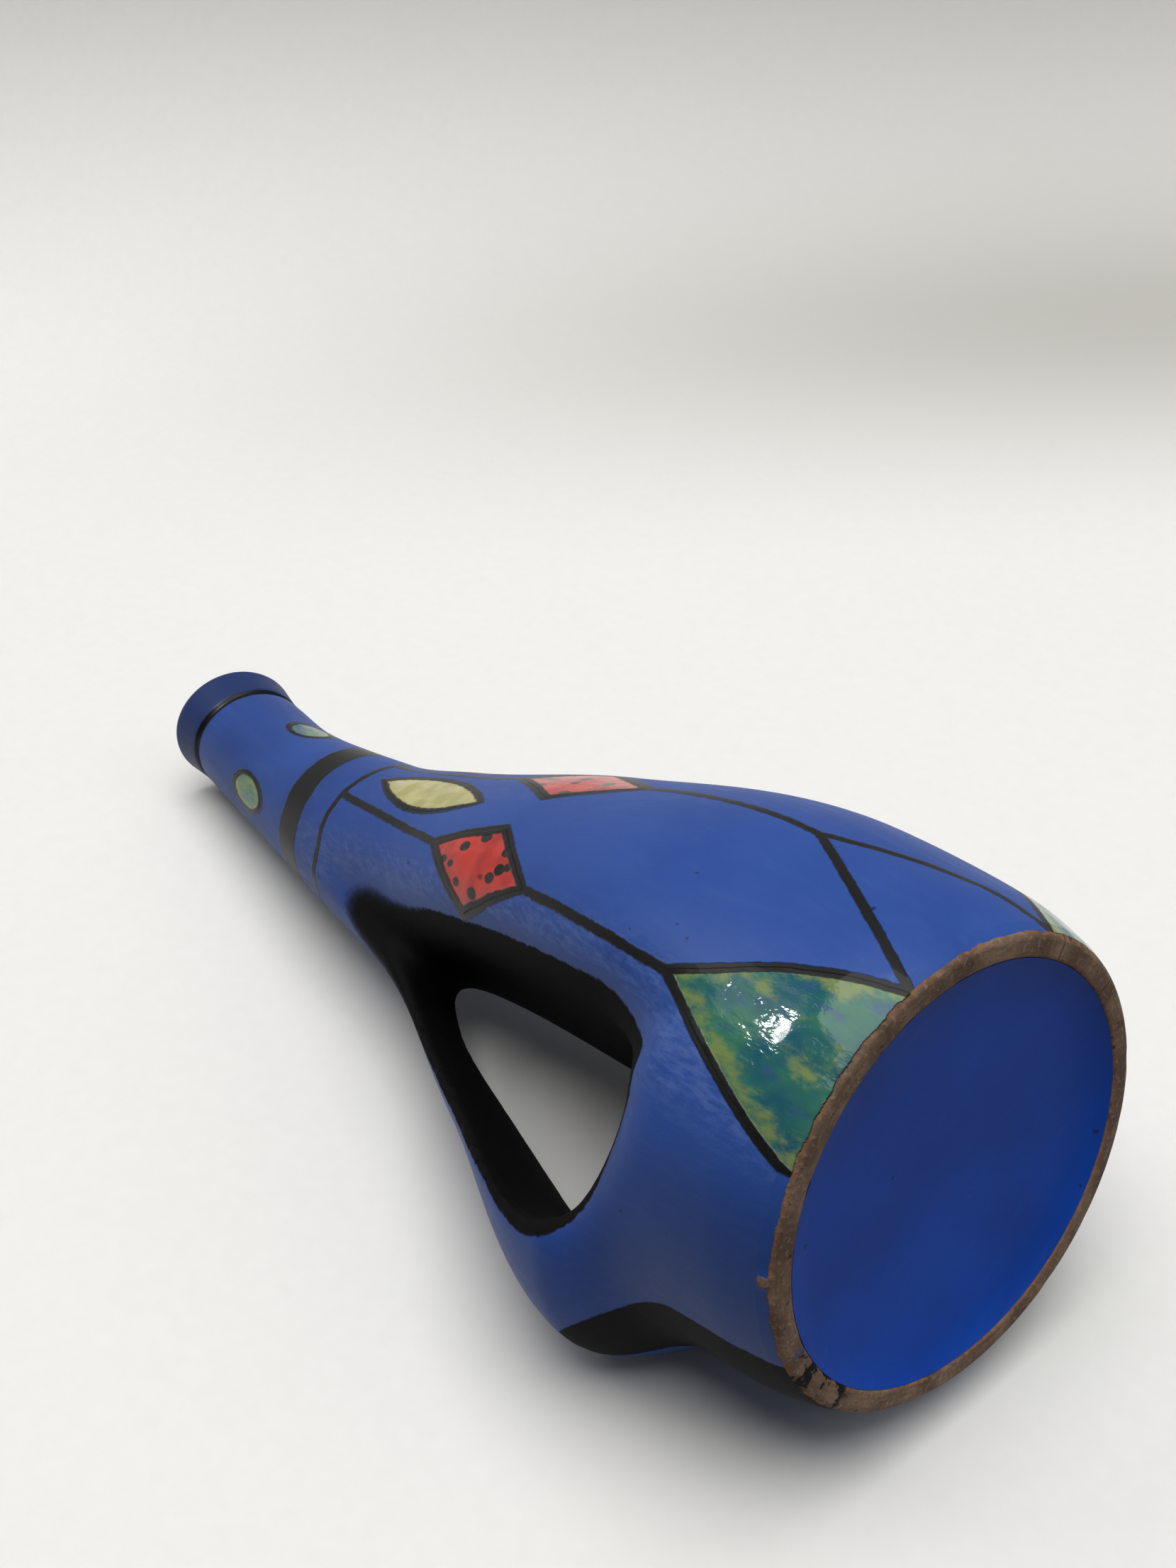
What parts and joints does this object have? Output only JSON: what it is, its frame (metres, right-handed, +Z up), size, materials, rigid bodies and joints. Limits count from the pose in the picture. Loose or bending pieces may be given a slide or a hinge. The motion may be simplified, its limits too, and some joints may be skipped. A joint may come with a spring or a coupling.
{
  "type": "jug",
  "caption": "Tall bottle-shaped glazed earthenware jug with a finger opening pierced behind a broad strap handle, a collar tipped forward round its mouth and an unglazed foot ring.",
  "frame": {"origin": "middle of the footprint, handle included, on the surface the jug stands on", "axes": "+Z up along the jug's axis, +X towards the handle"},
  "size_m": [0.1194, 0.1054, 0.2858],
  "materials": {
    "blue_glaze": "satin cobalt blue glaze with brushed black lines and coloured enamel fields",
    "biscuit": "bare rough fired clay"
  },
  "bodies": {
    "root": {"foot_ring": "biscuit", "base_disc": "blue_glaze", "body": "blue_glaze", "neck": "blue_glaze", "lip_collar": "blue_glaze", "handle": "blue_glaze"}
  },
  "joints": []
}
